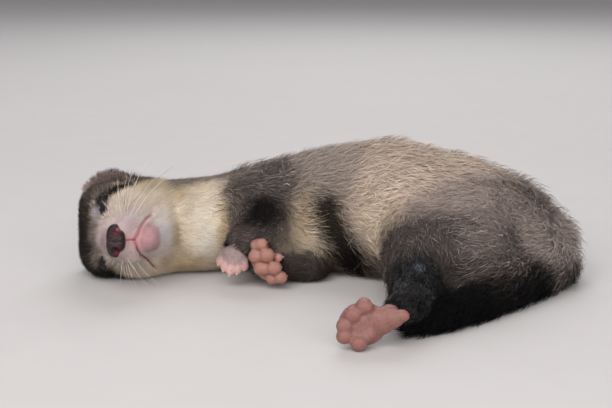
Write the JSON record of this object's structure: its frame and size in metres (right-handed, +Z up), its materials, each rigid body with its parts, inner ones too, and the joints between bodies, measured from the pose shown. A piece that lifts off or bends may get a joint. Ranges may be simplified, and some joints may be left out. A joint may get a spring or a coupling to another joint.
{
  "type": "ferret",
  "caption": "Life-size still model of a young sable ferret asleep on its right side, legs folded, tail curled forward, for display or as a set piece.",
  "frame": {"origin": "on the floor, under the middle of the whole animal's bounding box", "axes": "+Z up, +X from the head to the rump, the belly and the face towards -Y, millimetres in the source and metres here"},
  "size_m": [0.1808, 0.1246, 0.0476],
  "materials": {
    "coat_mask": "short soft fur, cream with a brown-grey mask, matt",
    "ear": "thin ear with short fur and a pale rim",
    "nose_pad": "bare, dark maroon, faintly moist",
    "coat_cream": "short soft cream fur",
    "coat_grizzle": "soft fur, grizzled grey-brown over cream",
    "coat_sable": "soft dark sable fur",
    "coat_black": "soft black-brown fur",
    "bare_skin": "bare pink skin, soft sheen"
  },
  "bodies": {
    "root": {"head": "coat_mask", "nose": "nose_pad", "ear_left": "ear", "ear_right": "ear", "neck": "coat_cream", "torso": "coat_grizzle", "foreleg_left": "coat_sable", "foreleg_right": "coat_sable", "hindleg_left": "coat_sable", "hindleg_right": "coat_sable", "forepaw_left": "bare_skin", "forepaw_right": "bare_skin", "hindfoot_left": "bare_skin", "hindfoot_right": "bare_skin", "tail": "coat_black"}
  },
  "joints": []
}
